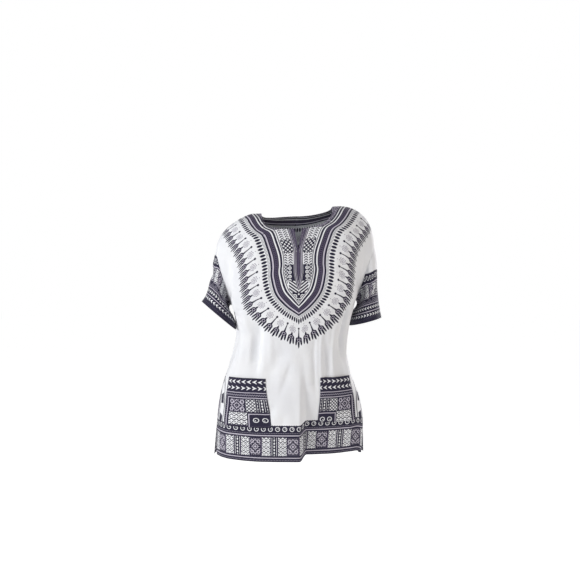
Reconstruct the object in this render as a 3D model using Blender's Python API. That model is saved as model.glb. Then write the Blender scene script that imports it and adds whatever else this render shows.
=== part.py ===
"""Dashiki shirt, worn and hollow: front, back, two dropped sleeves and two patch pockets.

Metres, +Z up. The front faces -Y, and the shirt's own right sleeve is at -X. The origin is the
middle of the neck opening on the shoulder line, where the wearer holds the shirt up.

Every panel is a wall of cloth on one shared surface. A panel point is given by
  across  -1 at one side edge, 0 at the centre line, 1 at the other side edge
  level   metres below the shoulder line, measured down the centre line
"""

import math
from collections import namedtuple

import bmesh
import bpy
import numpy as np

# Driving dimensions
LENGTH = 0.732          # shoulder line to hem
ROWS = 36               # rows of the panels' grids, closer together at the shoulder
ROW_EASE = 1.2
ARMHOLE_ROW = 12        # row at which front, back and sleeve meet under the arm
VENT_ROW = 32           # row at which each side seam opens into its vent
CLOTH = 0.0015          # wall of the body panels and sleeves
POCKET_CLOTH = 0.0012   # wall of the patch pockets
SEAM_GAP = 0.0003       # gap left between neighbouring pieces

# Neck opening
NECK_HALF_WIDTH = 0.30      # as a share of the panel's half width at the shoulder line
NECK_FRONT_LEVEL = 0.060    # the scoop's depth in front
NECK_BACK_LEVEL = 0.016
SCOOP_SQUARENESS = 3.0      # 2 is an ellipse, more is squarer
SLIT_HALF_WIDTH = 0.035     # half width of the open slit, as a share of the panel's half width
SLIT_LENGTH = 0.066
NECK_EASE_LEVEL = 0.300     # below this level the rows run straight across

# Worn form: one row for each level. left and right are the half widths of the front seen from
# the front, front and back are the depths at the centre, fold_y is how far forward the front's
# outer fold lies, tuck is how far the side edge lies inside that fold, and shift moves the row
# to the shirt's left.
Section = namedtuple("Section", "level left right front back fold_y tuck shift")
SECTIONS = [
    Section(0.000, 0.246, 0.226, 0.000, 0.000, 0.000, 0.000, 0.009),
    Section(0.010, 0.244, 0.224, 0.028, 0.032, 0.008, 0.000, 0.008),
    Section(0.030, 0.238, 0.219, 0.055, 0.063, 0.018, 0.000, 0.006),
    Section(0.060, 0.228, 0.210, 0.081, 0.086, 0.034, 0.000, 0.003),
    Section(0.120, 0.211, 0.198, 0.108, 0.106, 0.054, 0.000, 0.000),
    Section(0.180, 0.204, 0.191, 0.124, 0.115, 0.062, 0.006, 0.000),
    Section(0.240, 0.197, 0.184, 0.133, 0.115, 0.062, 0.022, 0.000),
    Section(0.300, 0.186, 0.170, 0.136, 0.109, 0.056, 0.024, 0.000),
    Section(0.360, 0.178, 0.158, 0.134, 0.102, 0.046, 0.018, 0.000),
    Section(0.420, 0.190, 0.155, 0.133, 0.102, 0.034, 0.012, 0.000),
    Section(0.500, 0.214, 0.169, 0.138, 0.113, 0.020, 0.006, 0.000),
    Section(0.570, 0.229, 0.192, 0.145, 0.124, 0.010, 0.003, 0.000),
    Section(0.650, 0.235, 0.202, 0.151, 0.130, 0.004, 0.000, 0.000),
    Section(0.732, 0.239, 0.204, 0.155, 0.134, 0.000, 0.000, 0.000),
]
FRONT_WRAP = 0.14      # how much further than a quarter turn the front wraps at the underarm
FRONT_FLATNESS = 0.80  # below 1 the chest is squarer than an ellipse
PULL_FROM = 0.55       # from here outwards a panel is drawn to its side edge

# Shoulders: how far the shoulder line has dropped at the armhole, and how late it drops
Shoulder = namedtuple("Shoulder", "neck_drop drop power")
SHOULDER_FROM = 0.38   # where the shoulder line starts to drop, as a share of the half width
SHOULDERS = {-1: Shoulder(0.012, 0.112, 1.25), 1: Shoulder(-0.012, 0.116, 1.8)}
SHOULDER_FADE_LEVEL = 0.550
ARMHOLE_FRONT = 0.060  # how far the armhole bows forward
ARMHOLE_BACK = 0.064   # and back

# Folds: from and to are (across, level). left_width and right_width are the reach of the fold
# on either side of its line, and depth is negative for a trough.
Fold = namedtuple("Fold", "across_from level_from across_to level_to left_width right_width depth")
FOLD_SCALE = 0.270  # metres of cloth from the centre line to the side edge
FRONT_FOLDS = [
    Fold(-0.42, 0.300, -0.40, 0.510, 0.038, 0.013, -0.017),
    Fold(-0.14, 0.400, -0.30, 0.520, 0.022, 0.018, -0.006),
    Fold(-0.20, 0.560, -0.28, 0.640, 0.020, 0.010, -0.008),
    Fold(0.60, 0.250, 0.58, 0.460, 0.016, 0.016, -0.014),
    Fold(0.34, 0.370, 0.30, 0.560, 0.014, 0.018, -0.005),
    Fold(-0.74, 0.120, -0.70, 0.330, 0.020, 0.016, 0.007),
    Fold(-0.62, 0.560, -0.66, 0.760, 0.030, 0.034, 0.009),
    Fold(0.52, 0.580, 0.56, 0.760, 0.030, 0.030, 0.008),
]
BACK_FOLDS = [
    Fold(-0.52, 0.200, -0.34, 0.760, 0.034, 0.024, -0.013),
    Fold(0.50, 0.190, 0.38, 0.760, 0.024, 0.034, -0.013),
    Fold(-0.06, 0.300, 0.02, 0.760, 0.030, 0.030, 0.010),
    Fold(-0.78, 0.260, -0.70, 0.560, 0.022, 0.022, 0.010),
    Fold(0.78, 0.260, 0.72, 0.560, 0.022, 0.022, 0.010),
]

# The pressed centre crease: its right half falls back and lifts towards the hem
CREASE_LEVEL = 0.420
CREASE_REACH = 0.130  # as a share of the panel's half width
CREASE_STEP = 0.036
CREASE_LIFT = 0.016
HEM_SIDE_LIFT = 0.008  # how far the hem has risen at the sides

# Side vents: how far each flap stands off the side line at the hem
Vent = namedtuple("Vent", "front_in front_forward back_out back_down")
VENTS = {-1: Vent(0.004, 0.014, 0.004, 0.006), 1: Vent(0.018, 0.020, 0.002, 0.003)}

# Sleeves: the cuff is an oval. tilt is how far its outer side is raised, in degrees, and spread
# is how far out the sleeve sets off from the shoulder.
Sleeve = namedtuple("Sleeve", "side centre tilt half_across half_deep spread")
SLEEVES = {
    "sleeve_right": Sleeve(-1, (-0.230, 0.004, -0.316), 40.0, 0.066, 0.082, 0.42),
    "sleeve_left": Sleeve(1, (0.212, 0.012, -0.334), 15.0, 0.049, 0.086, 0.24),
}
SLEEVE_FOLDS = {
    "sleeve_right": [
        Fold(0.92, 0.25, 1.14, 0.70, 0.018, 0.018, -0.007),
        Fold(0.30, 0.10, 0.16, 0.75, 0.022, 0.026, -0.006),
        Fold(0.60, 0.30, 0.78, 0.80, 0.020, 0.020, -0.008),
    ],
    "sleeve_left": [
        Fold(0.06, 0.56, 0.30, 0.50, 0.014, 0.012, -0.008),
        Fold(0.16, 0.16, 0.30, 0.60, 0.020, 0.024, -0.006),
        Fold(0.66, 0.30, 0.80, 0.76, 0.020, 0.020, -0.007),
    ],
}
SLEEVE_FOLD_SCALE = (0.48, 0.20)  # metres round the sleeve, and along it

# Patch pockets: their edges run along lines of the front's grid, which lean towards the centre
# over the hips. gape is how far the mouth stands open.
Pocket = namedtuple("Pocket", "inner outer top bottom gape")
POCKETS = {
    "pocket_right": Pocket(-0.30, -0.76, 26, 32, 0.003),
    "pocket_left": Pocket(0.25, 0.71, 26, 32, 0.003),
}
LEAN = 0.10
LEAN_LEVELS = (0.45, 0.65)

# Mesh
FRONT_COLUMNS = [0.0, 0.017, 0.035, 0.070, 0.115, 0.16, 0.205, 0.25, 0.30, 0.34, 0.38, 0.43, 0.49,
                 0.55, 0.61, 0.66, 0.71, 0.76, 0.82, 0.88, 0.94, 1.0]
BACK_COLUMNS = [0.0, 0.08, 0.16, 0.23, 0.30, 0.37, 0.44, 0.51, 0.58, 0.65, 0.72, 0.80, 0.90, 1.0]
SLEEVE_ROWS = 12

NAVY = (0.030, 0.028, 0.060, 1.0)
WHITE = (0.86, 0.87, 0.89, 1.0)
ROUGHNESS = 0.85


def smooth(value):
    """0 below 0, 1 above 1, and an S between them."""
    t = np.clip(value, 0.0, 1.0)
    return t * t * (3.0 - 2.0 * t)


def along_table(level, column):
    """A column of SECTIONS as a smooth curve through its rows."""
    knots = np.array([row.level for row in SECTIONS])
    values = np.array([getattr(row, column) for row in SECTIONS])
    slopes = np.gradient(values, knots)
    at = np.clip(level, knots[0], knots[-1])
    i = np.clip(np.searchsorted(knots, at, side="right") - 1, 0, len(knots) - 2)
    gap = knots[i + 1] - knots[i]
    t = (at - knots[i]) / gap
    return (
        values[i] * (1 + 2 * t) * (1 - t) ** 2
        + slopes[i] * gap * t * (1 - t) ** 2
        + values[i + 1] * t * t * (3 - 2 * t)
        + slopes[i + 1] * gap * t * t * (t - 1)
    )


def row_level(row):
    """The level of a row at a panel's side edge."""
    return LENGTH * (np.asarray(row, dtype=float) / ROWS) ** ROW_EASE


ARMHOLE_LEVEL = float(row_level(ARMHOLE_ROW))
VENT_LEVEL = float(row_level(VENT_ROW))


def by_side(across, left, right):
    return np.where(across < 0, left, right)


def shoulder_drop(across):
    """How far the shoulder line has dropped below the origin."""
    drops = []
    for side in (-1, 1):
        s = SHOULDERS[side]
        out = np.clip((np.abs(across) - SHOULDER_FROM) / (1 - SHOULDER_FROM), 0, None)
        tilt = s.neck_drop * smooth(np.abs(across) / SHOULDER_FROM)
        drops.append(tilt + s.drop * out**s.power)
    return by_side(across, *drops)


def fold_depth(across, level, folds, scale):
    """The sum of the folds at a place on a panel, in metres along the normal."""
    total = np.zeros_like(across)
    for f in folds:
        du, dv = (f.across_to - f.across_from) * scale[0], (f.level_to - f.level_from) * scale[1]
        length = math.hypot(du, dv)
        x, y = (across - f.across_from) * scale[0], (level - f.level_from) * scale[1]
        along = (x * du + y * dv) / length
        beside = (x * dv - y * du) / length
        width = np.where(beside < 0, f.left_width, f.right_width)
        fade = smooth(along / (0.35 * length)) * smooth((length - along) / (0.35 * length))
        total += f.depth * np.exp(-((beside / width) ** 2)) * fade
    return total


def side_edge(across, level, face):
    """The place of a panel's side edge: the armhole, then the side seam, then the vent."""
    width = by_side(across, along_table(level, "left"), along_table(level, "right"))
    x = width - along_table(level, "tuck")
    down = np.clip(level / ARMHOLE_LEVEL, 0, 1)
    bow = ARMHOLE_FRONT if face < 0 else ARMHOLE_BACK
    y = face * bow * 2.6 * np.sqrt(down) * (1 - down)
    opened = np.clip((level - VENT_LEVEL) / (LENGTH - VENT_LEVEL), 0, 1) ** 1.3
    for side in (-1, 1):
        v = VENTS[side]
        here = (across < 0) == (side < 0)
        inward, outward = (v.front_in, v.front_forward) if face < 0 else (-v.back_out, v.front_forward / 2)
        x = np.where(here, x - inward * opened, x)
        y = np.where(here, y + face * outward * opened, y)
    return x, y


def form(across, level, face):
    """The worn surface without its folds. face is -1 in front and 1 behind."""
    u = np.abs(across)
    side = np.sign(across)
    width = by_side(across, along_table(level, "left"), along_table(level, "right"))
    depth = along_table(level, "front" if face < 0 else "back")
    fold_y = along_table(level, "fold_y") * (1.0 if face < 0 else 0.8)
    wrap = along_table(level, "tuck") / 0.034
    turn = u * (np.pi / 2) * (1 + FRONT_WRAP * wrap)
    cosine = np.cos(turn)
    x = width * np.sin(turn)
    y = fold_y + (depth - fold_y) * np.sign(cosine) * np.abs(cosine) ** FRONT_FLATNESS
    edge_turn = (np.pi / 2) * (1 + FRONT_WRAP * wrap)
    edge_cosine = np.cos(edge_turn)
    end_x = width * np.sin(edge_turn)
    end_y = fold_y + (depth - fold_y) * np.sign(edge_cosine) * np.abs(edge_cosine) ** FRONT_FLATNESS
    edge_x, edge_y = side_edge(across, level, face)
    pull = np.clip((u - PULL_FROM) / (1 - PULL_FROM), 0, None) ** 2
    x = x + (edge_x - end_x) * pull
    y = face * y + (edge_y - face * end_y) * pull
    fade = 1 - smooth(level / SHOULDER_FADE_LEVEL)
    z = -level - shoulder_drop(across) * fade
    z = z + HEM_SIDE_LIFT * smooth((u - 0.3) / 0.7) * smooth(level / LENGTH)
    opened = np.clip((level - VENT_LEVEL) / (LENGTH - VENT_LEVEL), 0, 1) * smooth((u - 0.7) / 0.3)
    if face > 0:
        z = z - opened * by_side(across, VENTS[-1].back_down, VENTS[1].back_down)
    else:
        crease = smooth((level - CREASE_LEVEL) / (LENGTH - CREASE_LEVEL))
        fallen = smooth(across / CREASE_REACH) * (1 - smooth((across - 0.45) / 0.45)) * crease
        y = y + CREASE_STEP * fallen
        z = z + CREASE_LIFT * smooth(across / CREASE_REACH) * (1 - smooth((across - 0.6) / 0.4)) * crease
    return np.stack([side * x + along_table(level, "shift"), y, z], axis=-1)


def outward(surface, a, b, turned):
    """Unit normals of surface(a, b) by central differences. turned is 1 or -1, and points them out."""
    step = 0.003
    da = surface(a + step, b) - surface(a - step, b)
    db = surface(a, b + step) - surface(a, b - step)
    normal = np.cross(da, db) * turned
    return normal / np.maximum(np.linalg.norm(normal, axis=-1, keepdims=True), 1e-12)


def body(across, level, face):
    """The worn surface with its folds."""
    folds = FRONT_FOLDS if face < 0 else BACK_FOLDS
    bare = lambda a, b: form(a, b, face)
    height = fold_depth(across, level, folds, (FOLD_SCALE, 1.0))
    height = height * smooth((1 - np.abs(across)) / 0.10) * smooth(level / 0.10)
    return bare(across, level) + outward(bare, across, level, face) * height[..., None]


def body_normal(across, level, face):
    return outward(lambda a, b: body(a, b, face), across, level, face)


def armhole(side, turn):
    """A point on the armhole. turn is 0 on the shoulder, 0.25 in front, 0.5 under the arm."""
    forward = turn <= 0.5
    level = ARMHOLE_LEVEL * np.where(forward, 2 * turn, 2 - 2 * turn)
    across = np.full_like(turn, float(side))
    return np.where(forward[..., None], body(across, level, -1), body(across, level, 1))


def sleeve(name, turn, along):
    """A point on a sleeve. turn runs round it and along goes from the armhole, 0, to the cuff, 1."""
    s = SLEEVES[name]
    turn, along = np.mod(turn, 1.0), along[..., None]
    start = armhole(s.side, turn)
    cosine, sine = np.cos(2 * np.pi * turn)[..., None], np.sin(2 * np.pi * turn)[..., None]
    tilt = math.radians(s.tilt)
    out = np.array([s.side * math.cos(tilt), 0.0, math.sin(tilt)])
    down = np.array([s.side * math.sin(tilt), 0.0, -math.cos(tilt)])
    front = np.array([0.0, -1.0, 0.0])
    end = np.array(s.centre) + s.half_across * cosine * out + s.half_deep * sine * front
    over, under, beside = np.clip(cosine, 0, 1) ** 2, np.clip(-cosine, 0, 1) ** 2, sine**2
    sideways = s.spread * over + 0.90 * under + 0.38 * beside
    downward = 0.95 * over + 0.50 * under + 0.80 * beside
    leave = sideways * np.array([s.side, 0, 0]) - downward * np.array([0, 0, 1.0])
    leave = unit(leave + 0.25 * sine * front)
    reach = np.linalg.norm(end - start, axis=-1, keepdims=True) / 3
    rest = 1 - along
    return (
        rest**3 * start
        + 3 * rest**2 * along * (start + reach * leave)
        + 3 * rest * along**2 * (end - reach * down)
        + along**3 * end
    )


def folded_sleeve(name, turn, along):
    """The sleeve with its folds, which die out at the armhole seam."""
    side = SLEEVES[name].side
    bare = lambda a, b: sleeve(name, a, b)
    height = fold_depth(turn, along, SLEEVE_FOLDS[name], SLEEVE_FOLD_SCALE)
    height = height + fold_depth(turn + 1, along, SLEEVE_FOLDS[name], SLEEVE_FOLD_SCALE)
    height = height * smooth(along / 0.15)
    return bare(turn, along) + outward(bare, turn, along, side) * height[..., None]


def sleeve_normal(name, turn, along):
    side = SLEEVES[name].side
    return outward(lambda a, b: folded_sleeve(name, a, b), turn, along, side)


def unit(vectors):
    return vectors / np.linalg.norm(vectors, axis=-1, keepdims=True)


def armhole_normal(name, turn):
    """The direction shared by the body and the sleeve along the armhole seam."""
    level = ARMHOLE_LEVEL * np.where(turn <= 0.5, 2 * turn, 2 - 2 * turn)
    across = np.full_like(turn, float(SLEEVES[name].side))
    front, back = body_normal(across, level, -1), body_normal(across, level, 1)
    met = np.isclose(level, 0) | np.isclose(level, ARMHOLE_LEVEL)
    of_body = np.where(met[:, None], front + back, np.where(turn[:, None] < 0.5, front, back))
    return unit(unit(of_body) + sleeve_normal(name, turn, np.zeros_like(turn)))


def wall(name, middle, normals, thickness, round_it, colour, under=None):
    """One closed solid of cloth round a grid of points. What lies on a panel folds as it does."""
    outer, inner = middle + normals * thickness / 2, middle - normals * thickness / 2
    rows, columns = middle.shape[:2]
    bm = bmesh.new()
    sheets = [[[bm.verts.new(p) for p in row] for row in sheet] for sheet in (outer, inner)]
    steps = columns if round_it else columns - 1
    folded = middle if under is None else under
    for r in range(rows - 1):
        for c in range(steps):
            d = (c + 1) % columns
            corners = [(r, c), (r, d), (r + 1, d), (r + 1, c)]
            one = np.linalg.norm(folded[r, c] - folded[r + 1, d])
            other = np.linalg.norm(folded[r, d] - folded[r + 1, c])
            halves = ((0, 1, 2), (0, 2, 3)) if one < other else ((0, 1, 3), (1, 2, 3))
            for half in halves:
                places = [corners[k] for k in half]
                bm.faces.new([sheets[0][i][j] for i, j in places])
                bm.faces.new([sheets[1][i][j] for i, j in reversed(places)])
    edges = [[(r, c) for c in range(columns)] + [(r, 0)] * round_it for r in (0, rows - 1)]
    if not round_it:
        edges += [[(r, c) for r in range(rows)] for c in (0, columns - 1)]
    for edge in edges:
        for (i, j), (k, m) in zip(edge, edge[1:]):
            out_a, in_a, out_b, in_b = sheets[0][i][j], sheets[1][i][j], sheets[0][k][m], sheets[1][k][m]
            if (out_a.co - in_b.co).length < (in_a.co - out_b.co).length:
                halves = ((out_a, out_b, in_b), (out_a, in_b, in_a))
            else:
                halves = ((out_a, out_b, in_a), (out_b, in_b, in_a))
            for half in halves:
                bm.faces.new(half)
    bmesh.ops.recalc_face_normals(bm, faces=bm.faces)
    mesh = bpy.data.meshes.new(name)
    bm.to_mesh(mesh)
    bm.free()
    mesh.shade_smooth()
    mesh.set_sharp_from_angle(angle=math.radians(50))
    mesh.materials.append(colour)
    obj = bpy.data.objects.new(name, mesh)
    bpy.context.scene.collection.objects.link(obj)
    return obj


def part_at_seam(points, edge, inner):
    """Moves edge points half the seam gap towards their inner neighbours."""
    points[edge] += unit(points[inner] - points[edge]) * SEAM_GAP * 0.8


def top_level(across, face):
    """The level of a panel's upper edge: the shoulder seam, or the neckline with its slit."""
    u = np.abs(across)
    depth = NECK_FRONT_LEVEL if face < 0 else NECK_BACK_LEVEL
    scoop = np.clip(1 - np.clip(u / NECK_HALF_WIDTH, 0, 1) ** SCOOP_SQUARENESS, 0, 1)
    level = depth * scoop ** (1 / SCOOP_SQUARENESS)
    if face < 0:
        level = level + SLIT_LENGTH * np.clip(1 - u / SLIT_HALF_WIDTH, 0, 1)
    return level


def panel_grid(columns, face):
    """(across, level) of a body panel's grid, row by row from the upper edge to the hem."""
    across = np.array([-c for c in reversed(columns[1:])] + columns)
    upper = top_level(across, face)
    straight = row_level(np.arange(ROWS + 1))[:, None]
    squeezed = upper + straight * (NECK_EASE_LEVEL - upper) / NECK_EASE_LEVEL
    level = np.where(straight < NECK_EASE_LEVEL, squeezed, straight)
    lean = smooth((level - LEAN_LEVELS[0]) / (LEAN_LEVELS[1] - LEAN_LEVELS[0]))
    return across - LEAN * np.sin(np.pi * across) * lean, level


def body_panel(name, columns, face, colour):
    """The front or the back, parted from its neighbours along each seam."""
    across, level = panel_grid(columns, face)
    points, normals = body(across, level, face), body_normal(across, level, face)
    other = body_normal(across[0], level[0], -face)
    on_shoulder = np.abs(across[0]) >= NECK_HALF_WIDTH - 1e-9
    normals[0, on_shoulder] = unit(normals[0] + other)[on_shoulder]
    for column, side in ((0, -1), (-1, 1)):
        sleeve_name = next(n for n, s in SLEEVES.items() if s.side == side)
        edge_level = level[:, column]
        turn = edge_level[: ARMHOLE_ROW + 1] / ARMHOLE_LEVEL / 2
        behind = body_normal(across[:, column], edge_level, -face)
        seam = slice(ARMHOLE_ROW + 1, VENT_ROW + 1)
        normals[seam, column] = unit(normals[seam, column] + behind[seam])
        around = turn if face < 0 else 1 - turn
        normals[: ARMHOLE_ROW + 1, column] = armhole_normal(sleeve_name, around)
    part_at_seam(points, (slice(None), 0), (slice(None), 1))
    part_at_seam(points, (slice(None), -1), (slice(None), -2))
    part_at_seam(points, (0, on_shoulder), (1, on_shoulder))
    return wall(name, points, normals, CLOTH, False, colour)


def sleeve_tube(name, colour):
    """A sleeve, parted from the body along the armhole."""
    forward = row_level(np.arange(ARMHOLE_ROW + 1)) / ARMHOLE_LEVEL / 2
    turn = np.concatenate([forward, 1 - forward[-2:0:-1]])
    share = np.linspace(0, 1, SLEEVE_ROWS + 1)
    turns, along = np.meshgrid(turn, share)
    points, normals = folded_sleeve(name, turns, along), sleeve_normal(name, turns, along)
    normals[0] = armhole_normal(name, turn)
    part_at_seam(points, 0, 1)
    return wall(name, points, normals, CLOTH, True, colour)


def pocket(name, colour):
    """A patch pocket, laid on the front and open at its mouth."""
    p = POCKETS[name]
    across, level = panel_grid(FRONT_COLUMNS, -1)
    lines = np.array([-c for c in reversed(FRONT_COLUMNS[1:])] + FRONT_COLUMNS)
    covered = (lines >= min(p.inner, p.outer) - 1e-9) & (lines <= max(p.inner, p.outer) + 1e-9)
    across = across[p.top : p.bottom + 1, covered]
    level = level[p.top : p.bottom + 1, covered]
    rows, columns = across.shape
    shares, drops = np.meshgrid(np.linspace(0, 1, columns), np.linspace(0, 1, rows))
    normals = body_normal(across, level, -1)
    on_front = body(across, level, -1)
    stand = CLOTH / 2 + POCKET_CLOTH / 2 + SEAM_GAP
    gape = p.gape * np.sin(np.pi * shares) * (1 - smooth(drops / 0.75))
    points = on_front + normals * (stand + gape)[..., None]
    return wall(name, points, normals, POCKET_CLOTH, False, colour, on_front)


def cloth_colour(name, colour):
    material = bpy.data.materials.new(name)
    material.use_nodes = True
    shader = material.node_tree.nodes["Principled BSDF"]
    shader.inputs["Base Color"].default_value = colour
    shader.inputs["Roughness"].default_value = ROUGHNESS
    shader.inputs["Metallic"].default_value = 0.0
    return material


def clear_scene():
    for obj in list(bpy.data.objects):
        bpy.data.objects.remove(obj)


def main():
    clear_scene()
    white = cloth_colour("white_cotton", WHITE)
    navy = cloth_colour("navy_print", NAVY)
    body_panel("front", FRONT_COLUMNS, -1, white)
    body_panel("back", BACK_COLUMNS, 1, white)
    for name in SLEEVES:
        sleeve_tube(name, white)
    for name in POCKETS:
        pocket(name, navy)


main()
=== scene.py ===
"""Dashiki shirt, worn and hollow: the printed cotton, its folds and its sewing.

Metres, +Z up. The front faces -Y, and the shirt's own right sleeve is at -X. A place on a body
panel is given by
  across  -1 at one side edge, 0 at the centre line, 1 at the other side edge
  level   metres below the shoulder line, measured down the centre line
The prints are drawn by formulas on the flat cut. Each sheet carries a UV map named Cut, in
metres. On a body panel it runs from the centre line and down the cloth, on a pocket from its inner
edge and down, and on a sleeve round it and up from the cuff. The panels have a second one named
Ring, in metres along the neck print's border and outwards from its shield.
"""

import math
from collections import namedtuple
from functools import partial, reduce

import bmesh
import bpy
import numpy as np
from mathutils import Matrix, Vector
from mathutils.kdtree import KDTree


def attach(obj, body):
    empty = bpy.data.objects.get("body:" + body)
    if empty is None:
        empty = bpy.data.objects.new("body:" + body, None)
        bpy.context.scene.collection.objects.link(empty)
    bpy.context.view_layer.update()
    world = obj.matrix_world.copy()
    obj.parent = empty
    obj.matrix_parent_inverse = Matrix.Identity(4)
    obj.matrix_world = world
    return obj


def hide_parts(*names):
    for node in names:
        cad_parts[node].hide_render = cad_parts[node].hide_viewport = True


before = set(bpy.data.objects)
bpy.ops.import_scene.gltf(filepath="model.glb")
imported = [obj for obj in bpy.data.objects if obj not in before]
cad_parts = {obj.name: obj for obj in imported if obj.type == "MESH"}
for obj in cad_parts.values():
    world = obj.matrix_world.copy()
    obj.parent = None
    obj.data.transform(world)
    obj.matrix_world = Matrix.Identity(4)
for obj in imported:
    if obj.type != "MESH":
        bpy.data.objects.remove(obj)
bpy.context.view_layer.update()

bl_info = {
    "name": "Dashiki Shirt",
    "version": (1, 0, 0),
    "blender": (4, 5, 0),
    "location": "3D View > Sidebar > Dashiki",
    "description": "Builds the printed cloth, the sewing and the stage of a worn dashiki shirt",
    "category": "Object",
}

# Sizes of the cut and of the worn form, as in the solids
LENGTH = 0.732
ROWS = 36
ROW_EASE = 1.2
ARMHOLE_ROW = 12
VENT_ROW = 32
SOLID_CLOTH = 0.0015
SOLID_POCKET = 0.0012
SEAM_GAP = 0.0003

NECK_HALF_WIDTH = 0.30
NECK_FRONT_LEVEL = 0.060
NECK_BACK_LEVEL = 0.016
SCOOP_SQUARENESS = 3.0
SLIT_HALF_WIDTH = 0.035
SLIT_LENGTH = 0.066
NECK_EASE_LEVEL = 0.300

# left and right are the half widths of the front, front and back the depths at the centre, fold_y
# is how far forward the front's outer fold lies, tuck how far the side edge lies inside that fold,
# and shift moves the row to the shirt's left
Section = namedtuple("Section", "level left right front back fold_y tuck shift")
SECTIONS = [
    Section(0.000, 0.246, 0.226, 0.000, 0.000, 0.000, 0.000, 0.009),
    Section(0.010, 0.244, 0.224, 0.028, 0.032, 0.008, 0.000, 0.008),
    Section(0.030, 0.238, 0.219, 0.055, 0.063, 0.018, 0.000, 0.006),
    Section(0.060, 0.228, 0.210, 0.081, 0.086, 0.034, 0.000, 0.003),
    Section(0.120, 0.211, 0.198, 0.108, 0.106, 0.054, 0.000, 0.000),
    Section(0.180, 0.204, 0.191, 0.124, 0.115, 0.062, 0.006, 0.000),
    Section(0.240, 0.197, 0.184, 0.133, 0.115, 0.062, 0.022, 0.000),
    Section(0.300, 0.186, 0.170, 0.136, 0.109, 0.056, 0.024, 0.000),
    Section(0.360, 0.178, 0.158, 0.134, 0.102, 0.046, 0.018, 0.000),
    Section(0.420, 0.190, 0.155, 0.133, 0.102, 0.034, 0.012, 0.000),
    Section(0.500, 0.214, 0.169, 0.138, 0.113, 0.020, 0.006, 0.000),
    Section(0.570, 0.229, 0.192, 0.145, 0.124, 0.010, 0.003, 0.000),
    Section(0.650, 0.235, 0.202, 0.151, 0.130, 0.004, 0.000, 0.000),
    Section(0.732, 0.239, 0.204, 0.155, 0.134, 0.000, 0.000, 0.000),
]
FRONT_WRAP = 0.14
FRONT_FLATNESS = 0.80
PULL_FROM = 0.55

Shoulder = namedtuple("Shoulder", "neck_drop drop power")
SHOULDER_FROM = 0.38
SHOULDERS = {-1: Shoulder(0.012, 0.112, 1.25), 1: Shoulder(-0.012, 0.116, 1.8)}
SHOULDER_FADE_LEVEL = 0.550
ARMHOLE_FRONT = 0.060       # how far the armhole bows forward
ARMHOLE_BACK = 0.064        # and back
ARMHOLE_BOW = 2.6           # brings the armhole's curve to about those depths
VENT_EASE = 1.3             # above 1, a vent opens slowly at its top
FULL_WRAP_TUCK = 0.034      # a tuck this deep would have the whole of FRONT_WRAP
BACK_FOLD_SHARE = 0.8       # the back's outer fold as a share of the front's

# Folds: from and to are (across, level), or (turn, along) on a sleeve. left_width and right_width
# are the reach of a fold on either side of its line, and depth is negative for a trough.
Fold = namedtuple("Fold", "across_from level_from across_to level_to left_width right_width depth")
FOLD_SCALE = 0.270
FRONT_FOLDS = [
    Fold(-0.42, 0.300, -0.40, 0.510, 0.038, 0.013, -0.017),
    Fold(-0.14, 0.400, -0.30, 0.520, 0.022, 0.018, -0.006),
    Fold(-0.20, 0.560, -0.28, 0.640, 0.020, 0.010, -0.008),
    Fold(0.60, 0.250, 0.58, 0.460, 0.016, 0.016, -0.014),
    Fold(0.34, 0.370, 0.30, 0.560, 0.014, 0.018, -0.005),
    Fold(-0.74, 0.120, -0.70, 0.330, 0.020, 0.016, 0.007),
    Fold(-0.62, 0.560, -0.66, 0.760, 0.030, 0.034, 0.009),
    Fold(0.52, 0.580, 0.56, 0.760, 0.030, 0.030, 0.008),
]
BACK_FOLDS = [
    Fold(-0.52, 0.200, -0.34, 0.760, 0.034, 0.024, -0.013),
    Fold(0.50, 0.190, 0.38, 0.760, 0.024, 0.034, -0.013),
    Fold(-0.06, 0.300, 0.02, 0.760, 0.030, 0.030, 0.010),
    Fold(-0.78, 0.260, -0.70, 0.560, 0.022, 0.022, 0.010),
    Fold(0.78, 0.260, 0.72, 0.560, 0.022, 0.022, 0.010),
]

# Smaller creases, which only the thin cloth has
FRONT_CREASES = [
    Fold(-0.30, 0.494, 0.00, 0.488, 0.003, 0.005, -0.0016),
    Fold(0.03, 0.524, 0.24, 0.536, 0.004, 0.003, 0.0014),
    Fold(-0.70, 0.272, -0.52, 0.284, 0.004, 0.004, -0.0016),
    Fold(0.19, 0.320, 0.17, 0.600, 0.009, 0.005, -0.0026),
    Fold(0.27, 0.300, 0.25, 0.560, 0.005, 0.008, 0.0024),
    Fold(0.44, 0.330, 0.40, 0.520, 0.007, 0.007, 0.0028),
    Fold(-0.05, 0.430, -0.17, 0.560, 0.006, 0.009, -0.0028),
    Fold(-0.10, 0.590, -0.16, 0.660, 0.006, 0.006, -0.0020),
    Fold(-0.30, 0.330, -0.24, 0.480, 0.010, 0.008, 0.0030),
    Fold(-0.54, 0.350, -0.50, 0.470, 0.010, 0.007, 0.0030),
    Fold(-0.90, 0.235, -0.56, 0.330, 0.007, 0.009, -0.0036),
    Fold(-0.92, 0.190, -0.66, 0.215, 0.006, 0.008, -0.0026),
    Fold(0.90, 0.230, 0.62, 0.300, 0.008, 0.007, -0.0036),
    Fold(0.92, 0.180, 0.70, 0.205, 0.007, 0.006, -0.0024),
    Fold(0.74, 0.300, 0.70, 0.470, 0.009, 0.009, 0.0034),
    Fold(-0.80, 0.380, -0.70, 0.500, 0.010, 0.010, -0.0036),
]
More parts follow.
